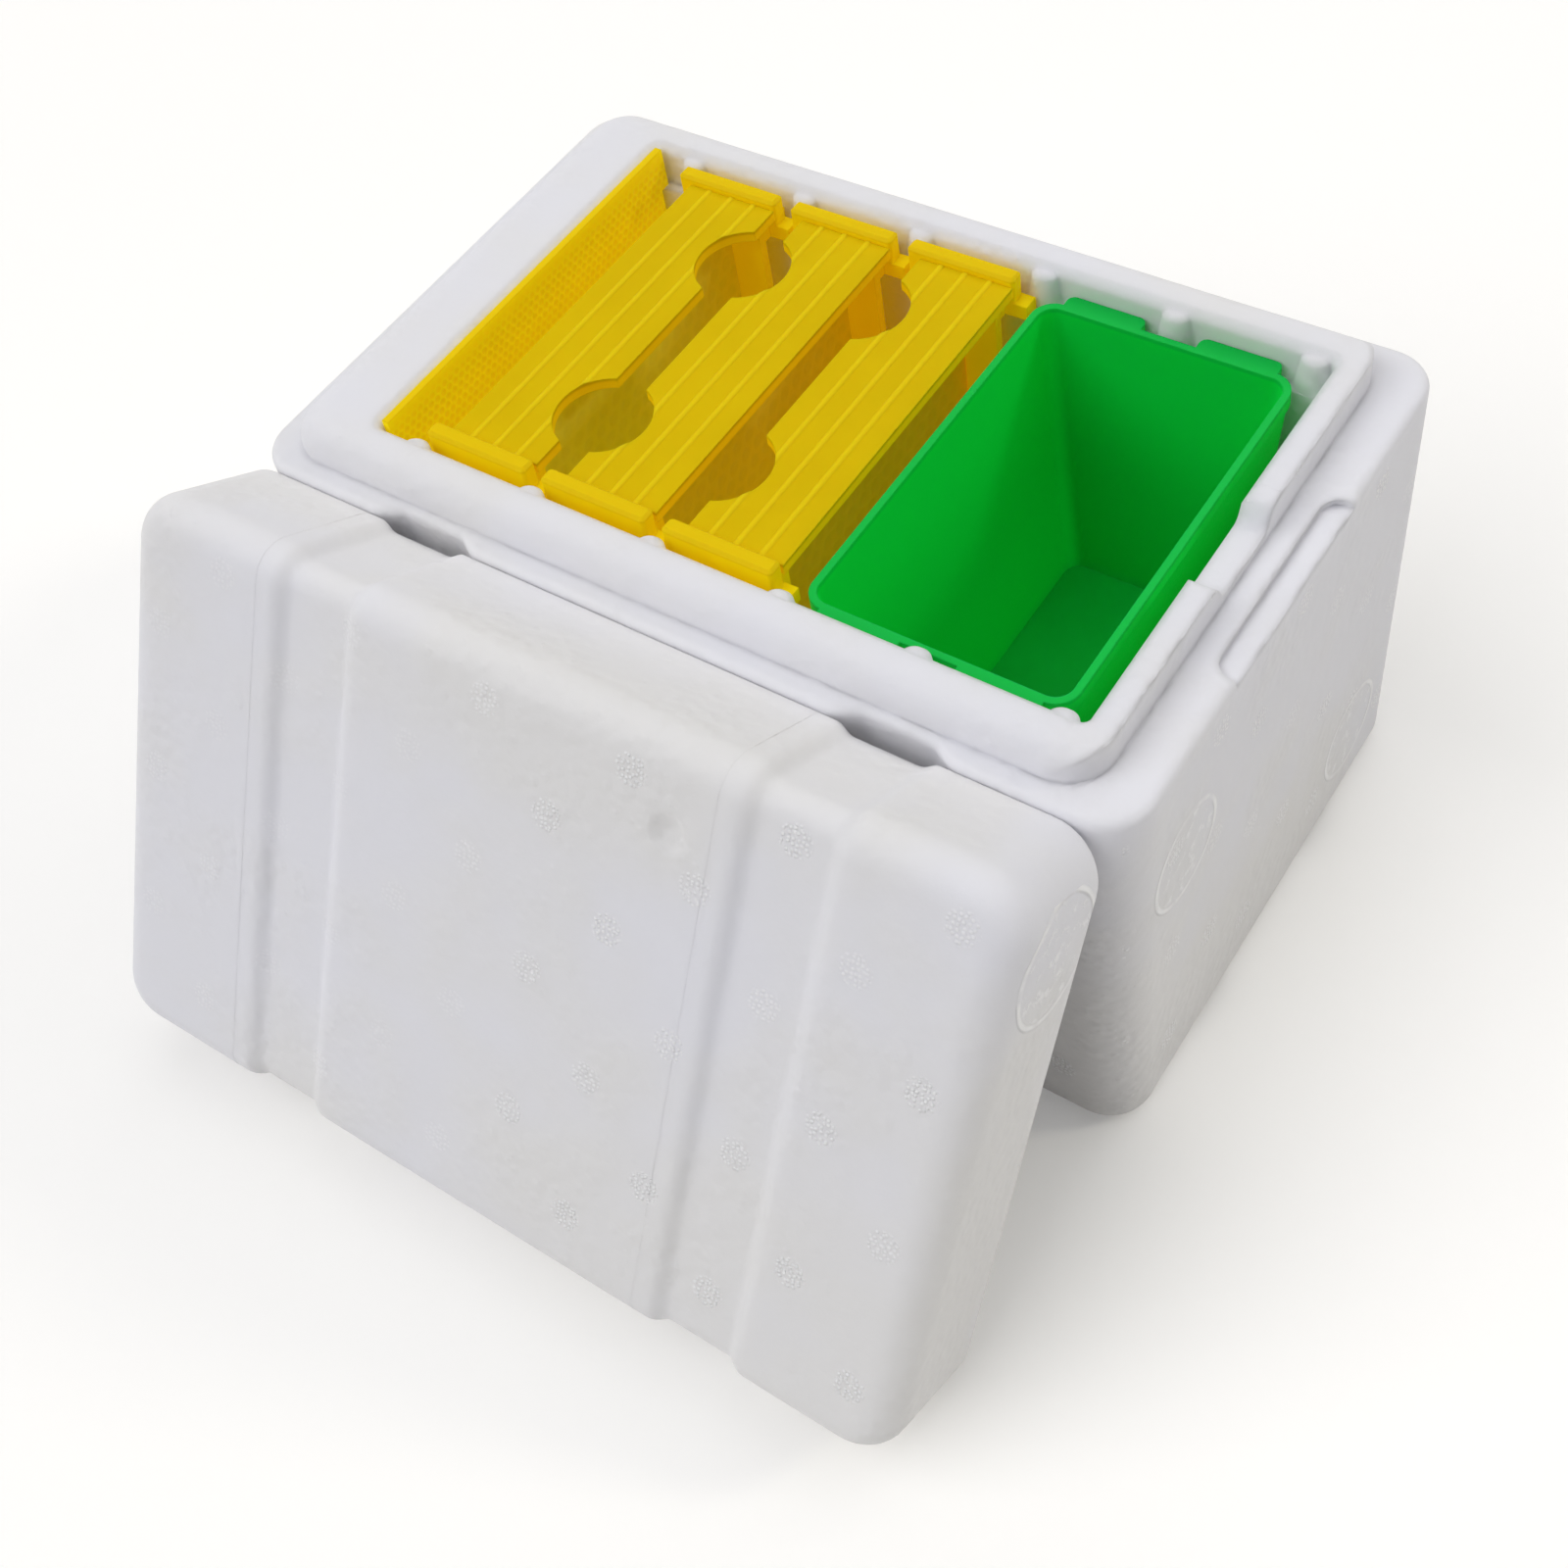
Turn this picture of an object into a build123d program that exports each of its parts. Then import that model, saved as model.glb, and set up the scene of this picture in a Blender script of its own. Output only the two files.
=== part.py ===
from build123d import *
import math
import os

# Foam bee box with three hanging frames, a syrup feeder, a comb sheet and a lid leant on its front.
# Millimetres. +Z is up, +X runs along the box, -Y is the front. The origin is under the floor's middle.

# Spacing of the frames: everything along X is built up from it
PITCH = 35.5
FRAME_COUNT = 3
FEEDER_PITCHES = 2
LEFT_BAY = 12.25
RIGHT_BAY = 5.25

# Foam box
LEFT_WALL = 30.5
RIGHT_WALL = 19.5
SIDE_WALL = 17.95
FLOOR = 20.0
BEE_SPACE = 10.0
LEDGE_ABOVE_SHELF = 3.0
BOX_CORNER = 12.0
BASE_EDGE = 6.0
LEDGE_EDGE = 2.0
CAVITY_CORNER = 2.0
LEDGE_LEFT = 7.0
LEDGE_RIGHT = 12.3
LEDGE_SIDE = 6.0
LIP_HEIGHT = 8.5
LIP_CORNER = 11.0
LIP_EDGE = 7.0
LIP_CHAMFER = 2.0
NUB_WIDTH = 12.5
NUB_TOP_WIDTH = 7.5
NUB_DEPTH = 3.0
NUB_TOP_DEPTH = 2.3
NUB_BELOW_LIP = 1.5
NUB_BEVEL = 1.0
NUB_NOSE_SHARE = 0.45
STRAP_X = 65.5
CHANNEL_MOUTH = 30.0
CHANNEL_BED = 18.0
CHANNEL_DEPTH = 3.6
CHANNEL_MOUTH_ROUND = 8.0
CHANNEL_BED_ROUND = 5.0
SKID_Y = 31.0
SKID_GROOVE = 17.0
SKID_DEPTH = 4.0
SKID_ROUND = 3.0
NOTCH_LENGTH = 57.0
NOTCH_WIDTH = 6.2
NOTCH_DEPTH = 1.8
NOTCH_ROUND = 5.0
NOTCH_Y = -1.5
LIP_GAP = 27.0
LIP_GAP_BED = 21.0
LIP_GAP_Y = -2.0
LIP_GAP_ABOVE_LEDGE = 2.5
LIP_GAP_MOUTH_ROUND = 4.0
LIP_GAP_ROUND = 3.0
CUTTER_SINK = 0.05
CORNER_NEAR = 0.05
ENTRANCE_RADIUS = 7.5
ENTRANCE_ABOVE_FLOOR = 4.0

# Lid
LID_SHORT = 2.5
LID_THICKNESS = 36.2
LID_CORNER = 13.0
LID_EDGE = 8.5
LID_RIM_EDGE = 1.0
LIP_CLEARANCE = 1.0
RECESS_EXTRA = 1.5
STRAP_GROOVE = 25.0
STRAP_BED = 18.0
STRAP_GROOVE_DEPTH = 2.4
STRAP_MOUTH_ROUND = 5.0
STRAP_BED_ROUND = 4.0
DIMPLE_X = 41.2
DIMPLE_FROM_EDGE = 21.5
DIMPLE_RADIUS = 5.0
DIMPLE_DEPTH = 1.5
LEAN_RUN = 76.8
LEAN_SHIFT = -3.8
GROOVE_SHIFT = 3.8

# Frame
FRAME_HANG = 98.0
TONGUE_TIP = 58.5
TONGUE_GAP = 0.3
TONGUE_THICK = 4.0
TONGUE_SIDE_GAP = 0.9
SEAT_THICK = 6.2
LUG_LEFT = 17.4
LUG_RIGHT = 13.25
SHOULDER_RIGHT = 16.8
SHOULDER_THICK = 4.0
LUG_THICK = 4.5
LUG_RISE = 2.0
LUG_ROUND = 1.2
LUG_BEVEL = 0.8
NUB_GAP = 0.3
END_THICK = 2.5
END_INSET = 2.2
END_FOOT_WIDTH = 16.0
END_NECK_TOP = 35.0
END_NECK_BOTTOM = 47.0
TOP_WIDTH = 26.5
TOP_THICK = 3.0
TOP_GAP = 0.3
PASSAGE_RADIUS = 12.5
PASSAGE_Y = 30.0
RIDGE_WIDTH = 1.8
RIDGE_HEIGHT = 0.35
RIDGE_SPACING = 7.0
GUIDE_WIDTH = 5.0
GUIDE_DEPTH = 3.0
SHEET_THICK = 1.2
SHEET_SLACK = 0.4
GROOVE_DEPTH = 1.2
SHEET_END_GAP = 0.3
BOTTOM_WIDTH = 10.0
BOTTOM_THICK = 3.5
TENON_WIDTH = 6.0
TENON_THICK = 1.8
TENON_GAP = 0.15

# Feeder
FEEDER_SIDE_GAP = 1.6
FEEDER_END_GAP = 1.0
FEEDER_BELOW_TOP_BAR = 4.0
FEEDER_CORNER = 6.0
FEEDER_RIM = 1.8
FEEDER_RIM_HEIGHT = 4.0
FEEDER_WALL = 1.6
FEEDER_DEPTH = 85.5
FEEDER_DRAFT_X = 7.5
FEEDER_DRAFT_Y = 4.0
TAB_WIDTH = 21.0
TAB_THICK = 2.0
TAB_ROUND = 2.0

# Comb sheet at the left end
COMB_THICK = 2.0
COMB_WALL_GAP = 0.4
COMB_SIDE_GAP = 1.3
COMB_BELOW_LIP = 0.2

# Along X
NUB_COUNT = FRAME_COUNT + FEEDER_PITCHES + 1
CAVITY_LENGTH = LEFT_BAY + PITCH * (NUB_COUNT - 1) + RIGHT_BAY
BOX_LENGTH = LEFT_WALL + CAVITY_LENGTH + RIGHT_WALL
BOX_RIGHT = BOX_LENGTH / 2
BOX_LEFT = -BOX_RIGHT
CAVITY_LEFT = BOX_LEFT + LEFT_WALL
CAVITY_RIGHT = BOX_RIGHT - RIGHT_WALL
LIP_LEFT = BOX_LEFT + LEDGE_LEFT
LIP_RIGHT = BOX_RIGHT - LEDGE_RIGHT
NUB_X = [CAVITY_LEFT + LEFT_BAY + PITCH * i for i in range(NUB_COUNT)]
FRAME_X = [NUB_X[i] + PITCH / 2 for i in range(FRAME_COUNT)]
FEEDER_X = NUB_X[FRAME_COUNT] + PITCH * FEEDER_PITCHES / 2

# Along Y, half sizes
CAVITY_HALF = TONGUE_TIP + TONGUE_GAP
NUB_FACE = CAVITY_HALF - NUB_DEPTH
BOX_HALF = CAVITY_HALF + SIDE_WALL
LIP_HALF = BOX_HALF - LEDGE_SIDE
LUG_OUT = NUB_FACE - NUB_GAP
LUG_IN = LUG_OUT - LUG_THICK
END_OUT = LUG_IN - END_INSET
END_IN = END_OUT - END_THICK
TOP_HALF = LUG_IN - TOP_GAP

# Along Z
FRAME_BOTTOM = FLOOR + BEE_SPACE
SHELF = FRAME_BOTTOM + FRAME_HANG
BOX_HEIGHT = SHELF + LEDGE_ABOVE_SHELF
LIP_TOP = BOX_HEIGHT + LIP_HEIGHT
NUB_TOP = LIP_TOP - NUB_BELOW_LIP
SEAT = SHELF + SEAT_THICK
TOP_BAR_TOP = SEAT + TOP_THICK

# Lid pose: its foot stands LEAN_RUN in front of the wall
LID_LENGTH = BOX_LENGTH
LID_WIDTH = 2 * BOX_HALF - LID_SHORT
LEAN = max(math.asin(LEAN_RUN / LID_WIDTH), math.atan(LEAN_RUN / BOX_HEIGHT))


def block(x0, x1, y0, y1, z0, z1):
    """Plain block between two corners."""
    return Pos((x0 + x1) / 2, (y0 + y1) / 2, (z0 + z1) / 2) * Box(x1 - x0, y1 - y0, z1 - z0)


def rounded_block(x0, x1, y0, y1, z0, z1, radius):
    """Upright block with rounded plan corners."""
    plan = Pos((x0 + x1) / 2, (y0 + y1) / 2, z0) * RectangleRounded(x1 - x0, y1 - y0, radius)
    return extrude(plan, z1 - z0)


def top_edges(solid):
    return solid.faces().sort_by(Axis.Z)[-1].edges()


def bottom_edges(solid):
    return solid.faces().sort_by(Axis.Z)[0].edges()


def soft_channel(mouth, bed, depth, mouth_round, bed_round):
    """Section of a soft channel's cutter: its mouth lies along X at zero and its bed at Y = depth."""
    flare = mouth / 2 + mouth_round
    corners = [
        (-flare, -depth),
        (-flare, CUTTER_SINK),
        (-mouth / 2, CUTTER_SINK),
        (-bed / 2, depth),
        (bed / 2, depth),
        (mouth / 2, CUTTER_SINK),
        (flare, CUTTER_SINK),
        (flare, -depth),
    ]
    section = make_face(Polyline(*corners, close=True))
    for width, radius in ((mouth, mouth_round), (bed, bed_round)):
        section = fillet([v for v in section.vertices() if abs(2 * abs(v.X) - width) < CORNER_NEAR], radius)
    return section


def channel_corners(plan, width, depth):
    """Corners of the strap channels where they are this wide, this deep below the long sides."""
    found = []
    for v in plan.vertices():
        along = abs(abs(abs(v.X) - STRAP_X) - width / 2)
        across = abs(BOX_HALF - depth - abs(v.Y))
        if max(along, across) < CORNER_NEAR:
            found.append(v)
    return found


def box_plan():
    """Plan of the box: a rounded rectangle with soft strap channels in both long sides."""
    plan = RectangleRounded(BOX_LENGTH, 2 * BOX_HALF, BOX_CORNER)
    inside = CHANNEL_BED / 2
    outside = CHANNEL_MOUTH - inside
    corners = [
        (-outside, CHANNEL_DEPTH),
        (-inside, -CHANNEL_DEPTH),
        (inside, -CHANNEL_DEPTH),
        (outside, CHANNEL_DEPTH),
    ]
    channel = make_face(Polyline(*corners, close=True))
    for x in (-STRAP_X, STRAP_X):
        plan -= Pos(x, BOX_HALF) * channel
        plan -= Pos(x, -BOX_HALF) * Rot(0, 0, 180) * channel
    plan = fillet(channel_corners(plan, CHANNEL_MOUTH, 0), CHANNEL_MOUTH_ROUND)
    return fillet(channel_corners(plan, CHANNEL_BED, CHANNEL_DEPTH), CHANNEL_BED_ROUND)


def make_lip():
    """Raised lip: soft shoulders on three sides and a steep wall at the right end."""
    beyond = LIP_RIGHT + LIP_CORNER + LIP_EDGE
    soft = rounded_block(LIP_LEFT, beyond, -LIP_HALF, LIP_HALF, FLOOR, LIP_TOP, LIP_CORNER)
    soft = fillet(top_edges(soft), LIP_EDGE)
    steep = rounded_block(LIP_LEFT, LIP_RIGHT, -LIP_HALF, LIP_HALF, FLOOR, LIP_TOP, LIP_CORNER)
    return soft & steep


def make_nub():
    """Tapered nub at the back wall that parts two slots, with a rounded nose and a bevelled top."""

    def section(width, depth, z):
        middle = CAVITY_HALF - depth + width / 2
        return Pos(0, middle, z) * RectangleRounded(width, width, NUB_NOSE_SHARE * width)

    sections = [
        section(NUB_WIDTH, NUB_DEPTH, SHELF - NUB_DEPTH),
        section(NUB_TOP_WIDTH, NUB_TOP_DEPTH, NUB_TOP - NUB_BEVEL),
        section(NUB_TOP_WIDTH - 2 * NUB_BEVEL, NUB_TOP_DEPTH - NUB_BEVEL, NUB_TOP),
    ]
    return loft(sections, ruled=True)


def make_hive_body():
    """Foam box: ledge and lip round the top, a stepped cavity, nubs and outside recesses."""
    body = extrude(box_plan(), BOX_HEIGHT)
    body = fillet(bottom_edges(body), BASE_EDGE)
    body = fillet(top_edges(body), LEDGE_EDGE)
    body += make_lip()

    body -= rounded_block(
        CAVITY_LEFT, CAVITY_RIGHT, -CAVITY_HALF, CAVITY_HALF, SHELF, LIP_TOP + FLOOR, CAVITY_CORNER
    )
    mouth = body.faces().sort_by(Axis.Z)[-1].inner_wires()[0].edges()
    body = chamfer(mouth, LIP_CHAMFER)
    body -= rounded_block(
        CAVITY_LEFT, CAVITY_RIGHT, -NUB_FACE, NUB_FACE, FLOOR, SHELF + NUB_DEPTH, CAVITY_CORNER
    )

    nub = make_nub()
    for x in NUB_X:
        body += Pos(x, 0, 0) * nub
        body += Pos(x, 0, 0) * mirror(nub, about=Plane.XZ)

    skid = Plane.YZ * RectangleRounded(SKID_GROOVE, 2 * SKID_DEPTH, SKID_ROUND)
    for y in (-SKID_Y, SKID_Y):
        body -= Pos(0, y, 0) * extrude(skid, BOX_LENGTH, both=True)

    body -= rounded_block(
        BOX_RIGHT - NOTCH_WIDTH,
        BOX_RIGHT + NOTCH_WIDTH + NOTCH_ROUND,
        NOTCH_Y - NOTCH_LENGTH / 2,
        NOTCH_Y + NOTCH_LENGTH / 2,
        BOX_HEIGHT - NOTCH_DEPTH,
        BOX_HEIGHT + NOTCH_DEPTH,
        NOTCH_ROUND,
    )
    gap_depth = LIP_HEIGHT - LIP_GAP_ABOVE_LEDGE
    gap = soft_channel(LIP_GAP, LIP_GAP_BED, gap_depth, LIP_GAP_MOUTH_ROUND, LIP_GAP_ROUND)
    gap_end = Plane(origin=(BOX_RIGHT, LIP_GAP_Y, LIP_TOP), x_dir=(0, 1, 0), z_dir=(-1, 0, 0))
    body -= extrude(gap_end * gap, RIGHT_WALL + LIP_CHAMFER)

    hole = Plane.XZ * Circle(ENTRANCE_RADIUS)
    hole_z = FLOOR + ENTRANCE_ABOVE_FLOOR + ENTRANCE_RADIUS
    body -= Pos(NUB_X[FRAME_COUNT - 1], NUB_FACE - CAVITY_CORNER, hole_z) * extrude(hole, -2 * SIDE_WALL)
    return body


def make_strap_groove():
    """Cutter for a soft strap groove that runs over the lid from rim to rim."""
    half_y = LID_WIDTH / 2
    low = -LID_EDGE
    start = (0, -half_y, low)
    top_front = (0, -half_y, LID_THICKNESS)
    top_back = (0, half_y, LID_THICKNESS)
    route = FilletPolyline(start, top_front, top_back, (0, half_y, low), radius=LID_EDGE)
    section = soft_channel(STRAP_GROOVE, STRAP_BED, STRAP_GROOVE_DEPTH, STRAP_MOUTH_ROUND, STRAP_BED_ROUND)
    return sweep(Plane(origin=start, x_dir=(1, 0, 0), z_dir=(0, 0, 1)) * section, path=route)


def make_lid():
    """Foam lid, modelled flat with its underside at zero and then leant on the front wall."""
    half_x = LID_LENGTH / 2
    half_y = LID_WIDTH / 2
    lid = rounded_block(-half_x, half_x, -half_y, half_y, 0, LID_THICKNESS, LID_CORNER)
    lid = fillet(top_edges(lid), LID_EDGE)
    lid = fillet(bottom_edges(lid), LID_RIM_EDGE)
    recess_depth = LIP_HEIGHT + RECESS_EXTRA
    lid -= rounded_block(
        LIP_LEFT - LIP_CLEARANCE,
        LIP_RIGHT + LIP_CLEARANCE,
        -LIP_HALF - LIP_CLEARANCE,
        LIP_HALF + LIP_CLEARANCE,
        -recess_depth,
        recess_depth,
        LIP_CORNER + LIP_CLEARANCE,
    )
    groove = make_strap_groove()
    for x in (GROOVE_SHIFT - STRAP_X, GROOVE_SHIFT + STRAP_X):
        lid -= Pos(x, 0, 0) * groove
    ball = (DIMPLE_RADIUS**2 + DIMPLE_DEPTH**2) / (2 * DIMPLE_DEPTH)
    lid -= Pos(DIMPLE_X, half_y - DIMPLE_FROM_EDGE, LID_THICKNESS + ball - DIMPLE_DEPTH) * Sphere(ball)

    sunk = LID_RIM_EDGE * (math.sin(LEAN) + math.cos(LEAN) - 1)
    tilt = 90 - math.degrees(LEAN)
    return Pos(LEAN_SHIFT, -BOX_HALF - LEAN_RUN, -sunk) * Rot(tilt, 0, 0) * Pos(0, half_y, 0) * lid


def make_end_bar(x, side):
    """End bar of a frame: a necked strip, a tongue for the slot between nubs and a raised cross lug."""
    tongue_half = (PITCH - NUB_WIDTH) / 2 - TONGUE_SIDE_GAP
    foot_half = END_FOOT_WIDTH / 2
    outline = [
        (-tongue_half, SHELF),
        (-tongue_half, SHELF - END_NECK_TOP),
        (-foot_half, SHELF - END_NECK_BOTTOM),
        (-foot_half, FRAME_BOTTOM),
        (foot_half, FRAME_BOTTOM),
        (foot_half, SHELF - END_NECK_BOTTOM),
        (tongue_half, SHELF - END_NECK_TOP),
        (tongue_half, SHELF),
    ]
    strip = extrude(Plane.XZ * make_face(Polyline(*outline, close=True)), -END_THICK)
    bar = Pos(0, END_IN, 0) * strip

    tongue_top = SHELF + TONGUE_THICK
    hook = [
        (END_IN, SHELF),
        (TONGUE_TIP, SHELF),
        (TONGUE_TIP, tongue_top),
        (LUG_OUT, tongue_top),
        (LUG_OUT, SEAT),
        (END_IN, SEAT),
    ]
    profile = Plane.YZ * make_face(Polyline(*hook, close=True))
    bar += extrude(profile, tongue_half, both=True)

    lug = block(-LUG_LEFT, LUG_RIGHT, LUG_IN, LUG_OUT, SHELF, TOP_BAR_TOP + LUG_RISE)
    lug = fillet(lug.edges().filter_by(Axis.Z), LUG_ROUND)
    lug = chamfer(top_edges(lug), LUG_BEVEL)
    bar += lug
    bar += block(0, SHOULDER_RIGHT, LUG_IN, LUG_OUT, SHELF, SHELF + SHOULDER_THICK)

    groove = SHEET_THICK + SHEET_SLACK
    bar -= block(-groove / 2, groove / 2, END_IN - GROOVE_DEPTH, END_IN + GROOVE_DEPTH, FRAME_BOTTOM, SEAT)
    tenon_z = FRAME_BOTTOM + BOTTOM_THICK / 2
    bar -= block(
        -TENON_WIDTH / 2 - TENON_GAP,
        TENON_WIDTH / 2 + TENON_GAP,
        END_IN - END_THICK,
        END_OUT + END_THICK,
        tenon_z - TENON_THICK / 2 - TENON_GAP,
        tenon_z + TENON_THICK / 2 + TENON_GAP,
    )
    if side < 0:
        bar = mirror(bar, about=Plane.XZ)
    return Pos(x, 0, 0) * bar


def make_top_bar(x, open_side):
    """Top bar: a ridged plate with two round passages in one long edge and a comb guide below."""
    left = (-RIDGE_WIDTH / 2, TOP_BAR_TOP)
    right = (RIDGE_WIDTH / 2, TOP_BAR_TOP)
    crown = ThreePointArc(left, (0, TOP_BAR_TOP + RIDGE_HEIGHT), right)
    ridge = extrude(Plane.XZ * make_face([crown, Line(right, left)]), TOP_HALF, both=True)
    bar = block(-TOP_WIDTH / 2, TOP_WIDTH / 2, -TOP_HALF, TOP_HALF, SEAT, TOP_BAR_TOP)
    for i in (-1, 0, 1):
        bar += Pos(i * RIDGE_SPACING, 0, 0) * ridge
    passage = extrude(Circle(PASSAGE_RADIUS), TOP_THICK, both=True)
    for y in (-PASSAGE_Y, PASSAGE_Y):
        bar -= Pos(open_side * PITCH / 2, y, TOP_BAR_TOP) * passage
    guide_half = END_IN - SHEET_END_GAP
    guide = block(-GUIDE_WIDTH / 2, GUIDE_WIDTH / 2, -guide_half, guide_half, SEAT - GUIDE_DEPTH, SEAT)
    groove = SHEET_THICK + SHEET_SLACK
    guide -= block(-groove / 2, groove / 2, -BOX_HALF, BOX_HALF, SEAT - GUIDE_DEPTH, SEAT)
    return Pos(x, 0, 0) * (bar + guide)


def make_bottom_bar(x):
    """Bottom bar: a grooved rail whose tenons pass through the end bars."""
    half = BOTTOM_WIDTH / 2
    top = FRAME_BOTTOM + BOTTOM_THICK
    groove = (SHEET_THICK + SHEET_SLACK) / 2
    section = [
        (-half, FRAME_BOTTOM),
        (half, FRAME_BOTTOM),
        (half, top),
        (groove, top),
        (groove, top - GROOVE_DEPTH),
        (-groove, top - GROOVE_DEPTH),
        (-groove, top),
        (-half, top),
    ]
    rail = extrude(Plane.XZ * make_face(Polyline(*section, close=True)), END_IN, both=True)
    middle = FRAME_BOTTOM + BOTTOM_THICK / 2
    rail += Pos(0, 0, middle) * Box(TENON_WIDTH, 2 * END_OUT, TENON_THICK)
    rail -= block(-groove, groove, -BOX_HALF, BOX_HALF, top - GROOVE_DEPTH, top)
    return Pos(x, 0, 0) * rail


def make_foundation(x):
    """Wax sheet held by the grooves of the four bars."""
    half_y = END_IN + GROOVE_DEPTH - SHEET_END_GAP
    low = FRAME_BOTTOM + BOTTOM_THICK - GROOVE_DEPTH
    high = SEAT - SHEET_END_GAP
    return block(x - SHEET_THICK / 2, x + SHEET_THICK / 2, -half_y, half_y, low, high)


def make_feeder():
    """Syrup tub with drafted walls, a thick rim and hooked tabs that hang in the slots."""
    half_x = PITCH * FEEDER_PITCHES / 2 - FEEDER_SIDE_GAP
    half_y = NUB_FACE - FEEDER_END_GAP
    rim_top = TOP_BAR_TOP - FEEDER_BELOW_TOP_BAR
    inner_floor = rim_top - FEEDER_DEPTH

    def plan(inset, shrink, z, radius):
        width = 2 * (half_x - inset - shrink * FEEDER_DRAFT_X)
        length = 2 * (half_y - inset - shrink * FEEDER_DRAFT_Y)
        return Pos(0, 0, z) * RectangleRounded(width, length, radius)

    skin = FEEDER_RIM - FEEDER_WALL
    tub = loft(
        [
            plan(skin, 1, inner_floor - FEEDER_WALL, FEEDER_CORNER),
            plan(skin, 0, rim_top, FEEDER_CORNER),
        ]
    )
    tub += extrude(plan(0, 0, rim_top - FEEDER_RIM_HEIGHT, FEEDER_CORNER), FEEDER_RIM_HEIGHT)
    tab_half = PITCH / 2
    leg = TONGUE_TIP - TAB_THICK
    for x in (-tab_half, tab_half):
        tab = block(x - TAB_WIDTH / 2, x + TAB_WIDTH / 2, half_y - FEEDER_RIM, TONGUE_TIP, SHELF, rim_top)
        tab = fillet(tab.edges().filter_by(Axis.Z).sort_by(Axis.Y)[-2:], TAB_ROUND)
        hollow = block(x - TAB_WIDTH, x + TAB_WIDTH, 0, leg, SHELF - TAB_THICK, rim_top - TAB_THICK)
        hook = tab - hollow
        tub += hook
        tub += mirror(hook, about=Plane.XZ)
    tub -= loft(
        [
            plan(FEEDER_RIM, 1, inner_floor, FEEDER_CORNER - FEEDER_WALL),
            plan(FEEDER_RIM, 0, rim_top, FEEDER_CORNER - FEEDER_WALL),
        ]
    )
    return Pos(FEEDER_X, 0, 0) * tub


def make_comb_sheet():
    """Upright sheet at the left wall, hung on the shelf by its wider top."""
    x = CAVITY_LEFT + COMB_WALL_GAP
    wide = CAVITY_HALF - COMB_SIDE_GAP
    narrow = NUB_FACE - COMB_SIDE_GAP
    top = LIP_TOP - COMB_BELOW_LIP
    outline = [
        (-narrow, FRAME_BOTTOM),
        (narrow, FRAME_BOTTOM),
        (narrow, SHELF),
        (wide, SHELF),
        (wide, top),
        (-wide, top),
        (-wide, SHELF),
        (-narrow, SHELF),
    ]
    return Pos(x, 0, 0) * extrude(Plane.YZ * make_face(Polyline(*outline, close=True)), COMB_THICK)


def build():
    parts = {
        "hive_body": make_hive_body(),
        "lid": make_lid(),
        "feeder": make_feeder(),
        "comb_sheet": make_comb_sheet(),
    }
    for i, x in enumerate(FRAME_X):
        frame = f"frame_{i + 1}"
        open_side = 1 if i == 0 else -1
        parts[frame + "_top_bar"] = make_top_bar(x, open_side)
        parts[frame + "_front_end_bar"] = make_end_bar(x, -1)
        parts[frame + "_back_end_bar"] = make_end_bar(x, 1)
        parts[frame + "_bottom_bar"] = make_bottom_bar(x)
        parts[frame + "_foundation"] = make_foundation(x)
    return parts


os.makedirs("parts", exist_ok=True)
for name, shape in build().items():
    export_step(shape, f"parts/{name}.step")
    print(name, round(shape.volume / 1000, 2), "cm3")
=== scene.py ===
import math

import bpy
from mathutils import Matrix, Vector


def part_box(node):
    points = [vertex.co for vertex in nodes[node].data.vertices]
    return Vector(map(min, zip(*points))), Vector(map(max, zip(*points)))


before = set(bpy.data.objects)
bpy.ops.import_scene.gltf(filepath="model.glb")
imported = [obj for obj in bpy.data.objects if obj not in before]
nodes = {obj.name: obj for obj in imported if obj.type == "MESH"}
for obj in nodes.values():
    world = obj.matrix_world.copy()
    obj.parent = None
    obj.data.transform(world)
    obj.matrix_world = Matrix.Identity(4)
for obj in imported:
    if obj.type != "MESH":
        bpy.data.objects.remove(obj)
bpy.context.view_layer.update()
scene = bpy.context.scene

OTHER_BARS = ("front_end_bar", "back_end_bar", "bottom_bar")

# Lengths are in metres, colours are 8-bit sRGB, depths of relief are in millimetres and texture scales are
# per metre. A ramp is where it starts and ends, and the value at each where that isn't 0 and 1.
MILLIMETRE = 0.001
WHITE = (1.0, 1.0, 1.0, 1.0)

# Floor, sky and lights: a light has the direction towards it, its strength, the angle it fills in degrees
# and its colour.
FLOOR_SIZE = 6.0
FLOOR_Z = -0.0005
FLOOR_COLOUR = (0.90, 0.89, 0.87, 1.0)
FLOOR_ROUGH = 0.9
FLOOR_LIFT = 0.17
SKY_STRENGTH = 0.18
LIGHTS = {
    "top": ((0.05, 0.50, 0.866), 1.00, 70.0, (0.985, 0.985, 1.0)),
    "fill": ((-0.36, -0.50, 0.787), 1.58, 55.0, (0.99, 0.99, 1.0)),
    "window": ((0.674, 0.530, 0.514), 0.50, 10.0, (1.0, 0.95, 0.81)),
}

# Camera of the photograph: its place and two of its axes in the object's frame.
CAMERA_PLACE = (0.23010, -0.28044, 0.46938)
CAMERA_RIGHT = (0.82341, 0.55161, -0.13313)
CAMERA_UP = (-0.38300, 0.71336, 0.58688)
LENS = 46.633
SENSOR = 36.0
CLIP_START = 0.01

# The lid leans on the box: its own frame has Y up its face and Z out of it.
LID_TILT = math.radians(59.43)
LID_WIDTH = 0.151
LID_THICK = 0.0362

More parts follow.
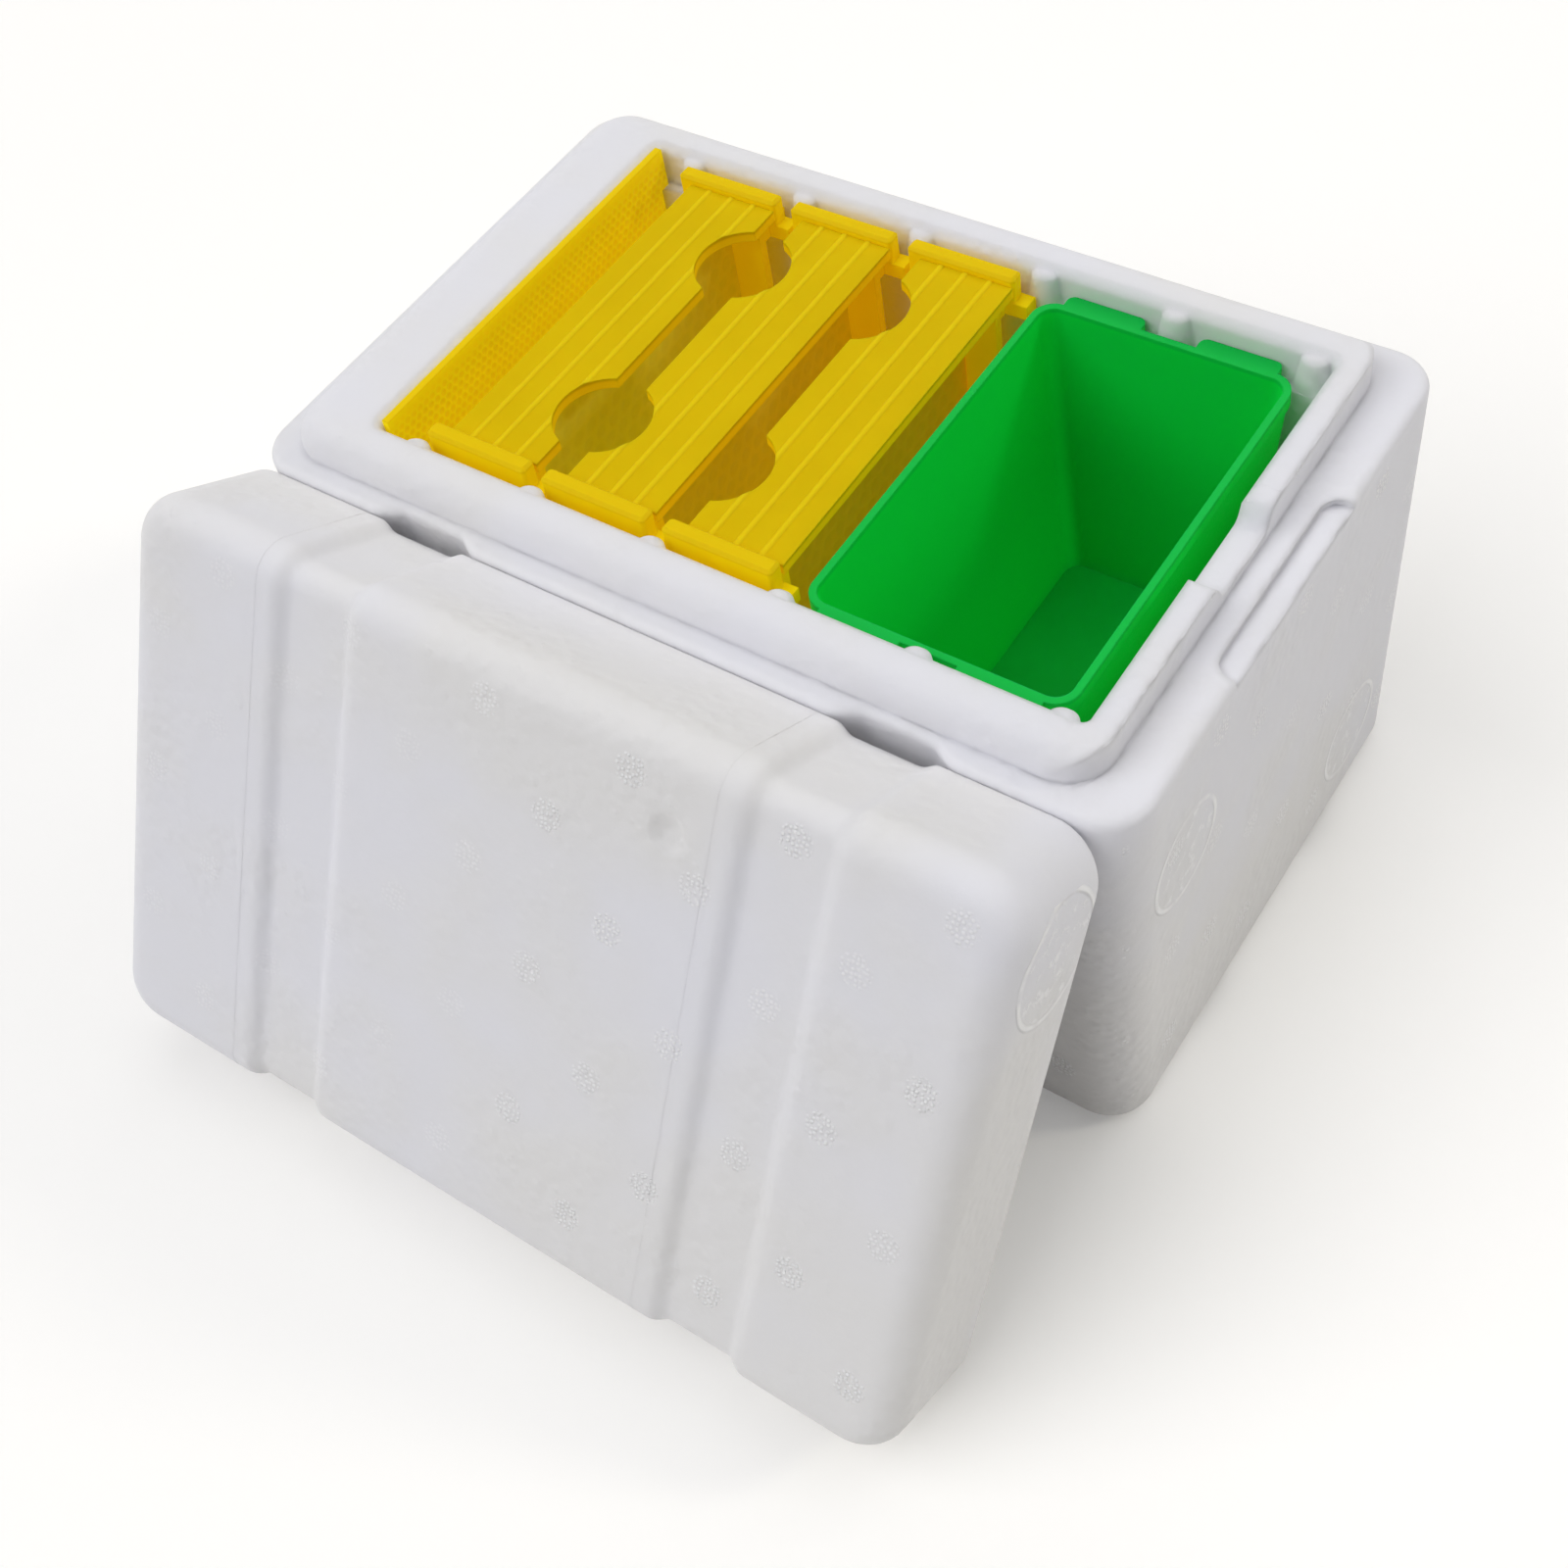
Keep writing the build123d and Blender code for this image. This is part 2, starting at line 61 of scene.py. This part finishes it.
# Foam: how far its edges are rounded, its colours, and its beads and waves.
BOX_EDGE = 0.0032
LID_EDGE = 0.0018
FOAM_COOL = (231, 231, 237)
FOAM_WARM = (230, 229, 229)
# The next colour is a lighter foam: a painted highlight on the raised vent dots and the ring lines, and the
# lighter colour of the torn foam inside the rings.
FOAM_HIGHLIGHT_AND_TORN = (250, 250, 252)
FOAM_GLOSS = 0.25
FOAM_SOFT = 0.4
FOAM_REACH = (1.0, 1.0, 1.0)
BROAD_SCALE = 12.0
BROAD_RAMP = (0.35, 0.65)
WAVE_SCALE = 55.0
WAVE_DEPTH = 0.35
BEAD_SCALE = 330.0
BEAD_DEPTH = 0.55
PATCH_SCALE = 24.0
PATCH_RAMP = (0.42, 0.62, 0.15, 1.0)
FINE_SCALE = 900.0
FINE_DEPTH = 0.05
FINE_ROUGH = (0.3, 0.7, 0.55, 0.68)

# Vents: clusters of dots on a staggered grid, which are worn in patches and to the left.
FLAT_SHARE = 0.7
VENT_STEP = 0.020
VENT_RAMP = (0.0034, 0.0045, 1.0, 0.0)
VENT_DEPTH = 0.26
BOX_VENTS = (0.0037, 0.0018)
LID_VENTS = (0.0300, 0.0225)
DOT_SCALE = 800.0
DOT_SPREAD = 0.6
DOT_RAMP = (0.15, 0.45, 1.0, 0.0)
FRESH_SCALE = 17.0
FRESH_RAMP = (0.40, 0.58, 0.45, 1.0)
WORN_RAMP = (-0.030, 0.030, 0.30, 1.0)

# Rings on the right end: where each is, its radius, and the torn foam inside it.
END_NEAR = 0.0012
BOX_RINGS = ((-0.0510, 0.0940, 0.0138), (0.0450, 0.0280, 0.0138))
LID_RINGS = ((0.0515, 0.0168, 0.0152),)
RING_RAMP = (0.0003, 0.0011, 1.0, 0.0)
RING_DEPTH = 0.50
RING_INSIDE = 0.002
GAP_SCALE = 90.0
GAP_RAMP = (0.35, 0.55, 0.2, 1.0)
TORN_SCALE = 260.0
TORN_RAMP = (0.52, 0.66)
TORN_DEPTH = 0.15
TORN_FRESH = 0.6

# Plastic: its edges, clouds and grain, the light that reaches into it, and a painted glow on its shaded
# faces that stands in for light coming through and bouncing between the parts.
PLASTIC_EDGE = 0.0005
PLASTIC_SOFT = 0.3
SOFT_DEPTH = 0.006
CLOUD_SCALE = 45.0
CLOUD_RAMP = (0.36, 0.64)
GRAIN_SCALE = 1500.0
GRAIN_DEPTH = 0.01
GRAIN_ROUGH = (0.3, 0.7, 0.42, 0.52)
SIDE_RAMP = (0.2, 0.9)
AMBER = (1.0, 0.6, 0.1)
LEAF = (0.1, 1.0, 0.3)
# Colours of the painted glow: emission on shaded faces, standing in for light that comes through the plastic
# and bounces between the parts.
YELLOW_GLOW = (244, 192, 10)
COMB_GLOW = (252, 222, 12)
GREEN_GLOW = (10, 215, 58)

# Colours of the plastic: each has a lit and a deep one, and others that it turns to.
BAR_LIT = (219, 187, 4)
BAR_DEEP = (215, 183, 3)
# The next colour is a painted highlight: a lighter yellow on the crowns of the ridges along the top bars,
# where they catch the light.
BAR_CROWN_HIGHLIGHT = (231, 202, 18)
# Painted light: the end and bottom bars are the same plastic as the top bars, but the next two colours are a
# lighter yellow that lifts the shade they sit in. The lug tops, which catch the light, keep the darker
# yellow after them.
END_LIT_PAINTED_LIGHT = (246, 228, 9)
END_DEEP_PAINTED_LIGHT = (242, 222, 7)
LUG_TOP_LIT_COPY = (228, 205, 14)
COMB_LIT = (250, 220, 12)
COMB_DEEP = (246, 214, 10)
# The next colour is painted shade: a darker yellow on the comb sheet's top edge, which would otherwise show
# a bright lit line.
COMB_RIM_SHADE = (212, 180, 5)
GREEN_LIT = (8, 188, 68)
GREEN_DEEP = (7, 182, 65)
# Painted light and shade by height in the feeder: the tub's floor keeps the darker base green, its walls
# turn lighter toward the top, and its lit rim turns darker again.
GREEN_LOW = (9, 194, 62)
GREEN_HIGH_PAINTED_LIGHT = (15, 224, 78)
GREEN_RIM_SHADE = (17, 200, 80)

# Foundation of each frame: its colour, its glow, and where along Y it turns to another colour. The colours
# differ from frame to frame and turn warmer toward the back as painted light, standing in for the coloured
# light in each gap.
WAX_SHEETS = {
    "frame_1": ((238, 226, 82), (158, 174, 2), (-0.020, 0.060, (240, 210, 74))),
    "frame_2": ((238, 222, 80), (168, 182, 2), (-0.040, 0.060, (238, 204, 72))),
    "frame_3": ((238, 194, 72), (232, 184, 4), (-0.040, 0.060, (236, 184, 68))),
}
WAX_DEEPER = 8

# Comb pattern: half the spacing of the cells, their depth, how much painted shade darkens them and the
# height where they end.
COMB_CELLS = (0.0012, 0.15, 0.32, 0.1390)
WAX_CELLS = (0.0027, 0.20, 0.10, 0.1330)
CELL_INNER = 0.35
CELL_OUTER = 0.95
CELL_SHADE = 0.5
CELLS_FADE = 0.006


def linear(r, g, b):
    """Linear colour from an 8-bit sRGB one."""

    def one(v):
        v = v / 255.0
        return v / 12.92 if v <= 0.04045 else ((v + 0.055) / 1.055) ** 2.4

    return (one(r), one(g), one(b), 1.0)


class Nodes:
    """Small helper that adds and links shader nodes."""

    def __init__(self, name):
        self.material = bpy.data.materials.new(name)
        self.material.use_nodes = True
        self.tree = self.material.node_tree
        self.shader = self.tree.nodes["Principled BSDF"]

    def add(self, kind, **values):
        node = self.tree.nodes.new(kind)
        for key, value in values.items():
            setattr(node, key, value)
        return node

    def put(self, socket, value):
        if isinstance(value, bpy.types.NodeSocket):
            self.tree.links.new(value, socket)
        else:
            socket.default_value = value

    def local(self, source="Object", origin=(0.0, 0.0, 0.0), tilt=0.0):
        """Coordinates in a frame that lies at origin and is turned about X by tilt."""
        where = self.add("ShaderNodeTexCoord")
        mapping = self.add("ShaderNodeMapping", vector_type="TEXTURE")
        self.put(mapping.inputs["Vector"], where.outputs[source])
        mapping.inputs["Location"].default_value = origin
        mapping.inputs["Rotation"].default_value = (tilt, 0.0, 0.0)
        return mapping.outputs["Vector"]

    def split(self, vector):
        node = self.add("ShaderNodeSeparateXYZ")
        self.put(node.inputs[0], vector)
        return node.outputs

    def join(self, u, v):
        node = self.add("ShaderNodeCombineXYZ")
        self.put(node.inputs[0], u)
        self.put(node.inputs[1], v)
        return node.outputs[0]

    def pick(self, switch, off, on):
        node = self.add("ShaderNodeMix", data_type="FLOAT")
        self.put(node.inputs["Factor"], switch)
        self.put(node.inputs[2], off)
        self.put(node.inputs[3], on)
        return node.outputs[0]

    def math(self, operation, a, b=None, c=None):
        node = self.add("ShaderNodeMath", operation=operation)
        for socket, value in zip(node.inputs, (a, b, c)):
            if value is not None:
                self.put(socket, value)
        return node.outputs[0]

    def product(self, first, *others):
        for other in others:
            first = self.math("MULTIPLY", first, other)
        return first

    def total(self, *heights):
        """Sum of heights, each times its depth."""
        result = 0.0
        for height, depth in heights:
            result = self.math("MULTIPLY_ADD", height, depth, result)
        return result

    def length(self, u, v):
        return self.math("SQRT", self.math("ADD", self.product(u, u), self.product(v, v)))

    def lattice(self, u, v, half_u, half_v):
        """Distance to the nearest point of a staggered grid."""
        across = self.math("PINGPONG", u, half_u)
        along = self.math("PINGPONG", v, half_v)
        corner = self.length(across, along)
        middle = self.length(self.math("SUBTRACT", half_u, across), self.math("SUBTRACT", half_v, along))
        return self.math("MINIMUM", corner, middle)

    def noise(self, vector, scale, detail=2.0, roughness=0.5):
        node = self.add("ShaderNodeTexNoise")
        self.put(node.inputs["Vector"], vector)
        node.inputs["Scale"].default_value = scale
        node.inputs["Detail"].default_value = detail
        node.inputs["Roughness"].default_value = roughness
        return node.outputs["Fac"]

    def voronoi(self, vector, scale, feature="F1", dimensions="3D", randomness=1.0):
        node = self.add("ShaderNodeTexVoronoi", feature=feature, voronoi_dimensions=dimensions)
        self.put(node.inputs["Vector"], vector)
        node.inputs["Scale"].default_value = scale
        node.inputs["Randomness"].default_value = randomness
        return node.outputs["Distance"]

    def ramp(self, value, low, high, to_low=0.0, to_high=1.0):
        node = self.add("ShaderNodeMapRange", interpolation_type="SMOOTHSTEP")
        names = ("Value", "From Min", "From Max", "To Min", "To Max")
        for name, amount in zip(names, (value, low, high, to_low, to_high)):
            self.put(node.inputs[name], amount)
        return node.outputs["Result"]

    def mix(self, factor, a, b):
        node = self.add("ShaderNodeMix", data_type="RGBA")
        self.put(node.inputs["Factor"], factor)
        self.put(node.inputs[6], a)
        self.put(node.inputs[7], b)
        return node.outputs[2]

    def relief(self, height, edge):
        """Normal of a surface with rounded edges and the height, in millimetres, on it."""
        corners = self.add("ShaderNodeBevel", samples=4)
        corners.inputs["Radius"].default_value = edge
        node = self.add("ShaderNodeBump")
        node.inputs["Distance"].default_value = MILLIMETRE
        self.put(node.inputs["Height"], height)
        self.put(node.inputs["Normal"], corners.outputs["Normal"])
        return node.outputs["Normal"]

    def set(self, **values):
        for key, value in values.items():
            self.put(self.shader.inputs[key.replace("_", " ")], value)


def foam_material(name, half_length, edge, flat_vents, vents, rings, origin=(0.0, 0.0, 0.0), tilt=0.0):
    """Expanded polystyrene: faint beads, dots where the mould was vented, and rings on the right end. The
    dots and ring lines carry a painted highlight, and the torn foam inside a ring is lighter.
    """
    m = Nodes(name)
    place = m.local("Object", origin, tilt)
    x, y, z = m.split(place)
    facing = m.split(m.local("Normal", tilt=tilt))
    on_end = m.math("GREATER_THAN", m.math("ABSOLUTE", facing["X"]), FLAT_SHARE)
    on_flat = m.math("GREATER_THAN", m.math("ABSOLUTE", facing["Z"]), FLAT_SHARE)

    u = m.math("SUBTRACT", m.pick(on_end, x, y), vents[0])
    v = m.math("SUBTRACT", m.pick(on_flat, z, y), vents[1])
    near = m.ramp(m.lattice(u, v, VENT_STEP, VENT_STEP), *VENT_RAMP)
    dots = m.ramp(m.voronoi(m.join(u, v), DOT_SCALE, dimensions="2D", randomness=DOT_SPREAD), *DOT_RAMP)
    fresh = m.product(m.ramp(m.noise(place, FRESH_SCALE), *FRESH_RAMP), m.ramp(x, *WORN_RAMP))
    vented = on_flat if flat_vents else m.math("SUBTRACT", 1.0, on_flat)
    vent = m.product(near, dots, fresh, vented)

    ring = 0.0
    inside = 0.0
    for ring_y, ring_z, radius in rings:
        distance = m.length(m.math("SUBTRACT", y, ring_y), m.math("SUBTRACT", z, ring_z))
        line = m.ramp(m.math("ABSOLUTE", m.math("SUBTRACT", distance, radius)), *RING_RAMP)
        ring = m.math("MAXIMUM", ring, line)
        inside = m.math("MAXIMUM", inside, m.ramp(distance, radius - RING_INSIDE, radius, 1.0, 0.0))
    right_end = m.math("GREATER_THAN", x, half_length - END_NEAR)
    ring = m.product(ring, m.ramp(m.noise(place, GAP_SCALE), *GAP_RAMP), right_end)
    torn = m.ramp(m.noise(place, TORN_SCALE, detail=4.0, roughness=0.65), *TORN_RAMP)
    torn = m.product(torn, inside, right_end)

    beads = m.voronoi(place, BEAD_SCALE, "SMOOTH_F1")
    patch = m.ramp(m.noise(place, PATCH_SCALE, detail=3.0, roughness=0.6), *PATCH_RAMP)
    bead = m.product(m.math("SUBTRACT", 1.0, beads), patch)
    wave = m.noise(place, WAVE_SCALE)
    fine = m.noise(place, FINE_SCALE, detail=3.0, roughness=0.6)
    broad = m.noise(place, BROAD_SCALE, detail=3.0, roughness=0.55)
    tint = m.mix(m.ramp(broad, *BROAD_RAMP), linear(*FOAM_COOL), linear(*FOAM_WARM))
    # Vent dots and ring lines are mixed toward the lighter colour as a painted highlight; torn foam takes
    # part of it as its own lighter colour.
    highlight_and_torn = m.math("MAXIMUM", m.math("MAXIMUM", vent, ring), m.product(torn, TORN_FRESH))
    tint = m.mix(highlight_and_torn, tint, linear(*FOAM_HIGHLIGHT_AND_TORN))
    height = m.total(
        (wave, WAVE_DEPTH),
        (bead, BEAD_DEPTH),
        (vent, VENT_DEPTH),
        (ring, RING_DEPTH),
        (torn, TORN_DEPTH),
        (fine, FINE_DEPTH),
    )
    m.set(Base_Color=tint, Normal=m.relief(height, edge), Roughness=m.ramp(fine, *FINE_ROUGH))
    m.set(Specular_IOR_Level=FOAM_GLOSS)
    m.set(Subsurface_Weight=FOAM_SOFT, Subsurface_Radius=FOAM_REACH, Subsurface_Scale=SOFT_DEPTH)
    return m.material


def plastic_material(name, lit, deep, reach, glow, bands, gloss, through=0.0, cells=None, across=1.0):
    """Moulded plastic. glow is a painted glow on its shaded faces, emission that stands in for light coming
    through them and bouncing between the parts, as a colour, two heights and the strength at each, and
    across is the share of it on faces other than X faces. bands change the colour along an axis, through is
    the share of light that passes, and cells are a comb pattern on the X faces with painted shade in their
    pits."""
    m = Nodes(name)
    place = m.local()
    axes = m.split(place)
    y, z = axes["Y"], axes["Z"]
    cloud = m.noise(place, CLOUD_SCALE, detail=3.0)
    grain = m.noise(place, GRAIN_SCALE)
    tint = m.mix(m.ramp(cloud, *CLOUD_RAMP), linear(*deep), linear(*lit))
    for axis, low, high, colour in bands:
        tint = m.mix(m.ramp(axes[axis], low, high), tint, linear(*colour))
    heights = [(grain, GRAIN_DEPTH)]
    if cells:
        half, depth, shade, end = cells
        spot = m.lattice(y, z, half, half * math.sqrt(3.0))
        pit = m.ramp(spot, CELL_INNER * half, CELL_OUTER * half, 1.0, 0.0)
        pit = m.product(pit, m.ramp(z, end - CELLS_FADE, end, 1.0, 0.0))
        # Painted shade: the pits are mixed toward a darker copy of the deep colour.
        pit_shade = [CELL_SHADE * v for v in linear(*deep)]
        tint = m.mix(m.product(pit, shade), tint, pit_shade)
        heights.append((pit, -depth))
    normal = m.relief(m.total(*heights), PLASTIC_EDGE)
    m.set(Base_Color=tint, Normal=normal, Roughness=m.ramp(grain, *GRAIN_ROUGH), Specular_IOR_Level=gloss)
    m.set(Subsurface_Weight=PLASTIC_SOFT, Subsurface_Scale=SOFT_DEPTH, Subsurface_Radius=reach)
    colour, low, high, strength_low, strength_high = glow
    strength = m.ramp(z, low, high, strength_low, strength_high)
    if across < 1.0:
        facing = m.math("ABSOLUTE", m.split(m.local("Normal"))["X"])
        strength = m.product(strength, m.ramp(facing, *SIDE_RAMP, across, 1.0))
    m.set(Emission_Color=linear(*colour), Emission_Strength=strength)
    if through:
        veil = m.add("ShaderNodeBsdfTranslucent")
        m.put(veil.inputs["Color"], tint)
        m.put(veil.inputs["Normal"], normal)
        blend = m.add("ShaderNodeMixShader")
        blend.inputs["Fac"].default_value = through
        m.put(blend.inputs[1], m.shader.outputs["BSDF"])
        m.put(blend.inputs[2], veil.outputs["BSDF"])
        m.put(m.tree.nodes["Material Output"].inputs["Surface"], blend.outputs["Shader"])
    return m.material


def dress(material, *names):
    for name in names:
        nodes[name].data.materials.clear()
        nodes[name].data.materials.append(material)


def dress_foam():
    box_low, box_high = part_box("hive_body")
    dress(foam_material("foam_box", box_high[0], BOX_EDGE, False, BOX_VENTS, BOX_RINGS), "hive_body")
    lid_low, lid_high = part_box("lid")
    foot = lid_low[1] + LID_THICK * math.sin(LID_TILT)
    origin = (
        (lid_low[0] + lid_high[0]) / 2,
        foot + LID_WIDTH / 2 * math.cos(LID_TILT),
        LID_WIDTH / 2 * math.sin(LID_TILT),
    )
    half_length = (lid_high[0] - lid_low[0]) / 2
    foam = foam_material("foam_lid", half_length, LID_EDGE, True, LID_VENTS, LID_RINGS, origin, LID_TILT)
    dress(foam, "lid")


def dress_plastic():
    # Each glow below is painted light, its strength set by height: on the bar's shaded sides below its top,
    # deeper in the box for the end bars, lower down on the comb sheet, deeper in the tub for the feeder and
    # weaker on its front and back walls.
    under_bar = (YELLOW_GLOW, 0.1360, 0.1369, 0.22, 0.0)
    # Painted highlight: the ridge crowns above the bar's top turn a lighter yellow.
    crown_highlight = (("Z", 0.13712, 0.13760, BAR_CROWN_HIGHLIGHT),)
    bars = plastic_material("bar_yellow", BAR_LIT, BAR_DEEP, AMBER, under_bar, crown_highlight, gloss=0.03)

    in_box = (YELLOW_GLOW, 0.1240, 0.1340, 0.19, 0.13)
    # Painted light: below the lug tops the end bars keep their lifted yellow, and the lit lug tops turn to
    # the darker one.
    lug_top_lit_copy = (("Z", 0.1376, 0.1385, LUG_TOP_LIT_COPY),)
    ends = plastic_material("end_yellow", END_LIT_PAINTED_LIGHT, END_DEEP_PAINTED_LIGHT, AMBER, in_box, lug_top_lit_copy, gloss=0.05, through=0.25)

    on_sheet = (COMB_GLOW, 0.1230, 0.1300, 0.26, 0.19)
    # Painted shade: the top edge of the comb sheet turns darker.
    rim_shade = (("Z", 0.1390, 0.1393, COMB_RIM_SHADE),)
    comb = plastic_material(
        "comb_yellow", COMB_LIT, COMB_DEEP, AMBER, on_sheet, rim_shade, gloss=0.05, cells=COMB_CELLS
    )

    in_tub = (GREEN_GLOW, 0.0600, 0.1100, 0.18, 0.12)
    # Painted light and shade by height: darker deep in the tub, lighter up the walls, toned down on the lit
    # rim.
    painted_light_by_height = (
        ("Z", 0.0475, 0.0520, GREEN_LOW),
        ("Z", 0.0780, 0.1250, GREEN_HIGH_PAINTED_LIGHT),
        ("Z", 0.1316, 0.1326, GREEN_RIM_SHADE),
    )
    green = plastic_material(
        "green", GREEN_LIT, GREEN_DEEP, LEAF, in_tub, painted_light_by_height, gloss=0.12, through=0.20, across=0.2
    )

    for frame_name, (lit, shine, turn) in WAX_SHEETS.items():
        dress(bars, f"{frame_name}_top_bar")
        dress(ends, *[f"{frame_name}_{bar}" for bar in OTHER_BARS])
        deep = [v - WAX_DEEPER for v in lit]
        # Painted glow on the foundation, stronger lower down.
        in_wax = (shine, 0.0600, 0.1340, 0.20, 0.13)
        # Painted light: the sheet turns warmer toward the back.
        bands = (("Y", *turn),)
        wax = plastic_material(
            f"wax_{frame_name}", lit, deep, AMBER, in_wax, bands, gloss=0.1, through=0.15, cells=WAX_CELLS
        )
        dress(wax, f"{frame_name}_foundation")
    dress(green, "feeder")
    dress(comb, "comb_sheet")


def seen_directly(tree, seen, unseen):
    """One value where a surface is looked at or mirrored, and another where it lights the object."""
    path = tree.nodes.new("ShaderNodeLightPath")
    total = path.outputs["Is Camera Ray"]
    for name in ("Is Glossy Ray", "Is Transmission Ray"):
        either = tree.nodes.new("ShaderNodeMath")
        either.operation = "MAXIMUM"
        tree.links.new(total, either.inputs[0])
        tree.links.new(path.outputs[name], either.inputs[1])
        total = either.outputs[0]
    value = tree.nodes.new("ShaderNodeMath")
    value.operation = "MULTIPLY_ADD"
    tree.links.new(total, value.inputs[0])
    value.inputs[1].default_value = seen - unseen
    value.inputs[2].default_value = unseen
    return value.outputs[0]


def make_stage():
    """Pale floor, wide enough to fill the view; it looks white but lights the object as a pale floor."""
    corners = ((-1, -1), (1, -1), (1, 1), (-1, 1))
    mesh = bpy.data.meshes.new("floor")
    mesh.from_pydata([(x * FLOOR_SIZE, y * FLOOR_SIZE, FLOOR_Z) for x, y in corners], [], [(0, 1, 2, 3)])
    floor = bpy.data.objects.new("floor", mesh)
    scene.collection.objects.link(floor)
    m = Nodes("floor")
    m.set(Base_Color=FLOOR_COLOUR, Roughness=FLOOR_ROUGH, Specular_IOR_Level=0.0)
    m.set(Emission_Color=WHITE, Emission_Strength=seen_directly(m.tree, FLOOR_LIFT, 0.0))
    mesh.materials.append(m.material)


def make_world():
    """Sky that looks white and lights the object weakly."""
    world = bpy.data.worlds.new("studio")
    world.use_nodes = True
    sky = world.node_tree.nodes["Background"]
    sky.inputs["Color"].default_value = WHITE
    world.node_tree.links.new(seen_directly(world.node_tree, 1.0, SKY_STRENGTH), sky.inputs["Strength"])
    scene.world = world


def make_light(name, towards, energy, spread, colour):
    """Soft light from far away."""
    data = bpy.data.lights.new(name, "SUN")
    data.energy = energy
    data.color = colour
    data.angle = math.radians(spread)
    light = bpy.data.objects.new(name, data)
    scene.collection.objects.link(light)
    light.rotation_euler = (-Vector(towards)).to_track_quat("-Z", "Y").to_euler()


def make_camera():
    data = bpy.data.cameras.new("camera")
    data.sensor_width = SENSOR
    data.lens = LENS
    data.clip_start = CLIP_START
    camera = bpy.data.objects.new("camera", data)
    scene.collection.objects.link(camera)
    right = Vector(CAMERA_RIGHT)
    up = Vector(CAMERA_UP)
    turn = Matrix((right, up, right.cross(up))).transposed().to_4x4()
    camera.matrix_world = Matrix.Translation(CAMERA_PLACE) @ turn
    scene.camera = camera


dress_foam()
dress_plastic()
make_stage()
make_world()
for light_name, settings in LIGHTS.items():
    make_light(light_name, *settings)
make_camera()
scene.view_settings.view_transform = "Standard"
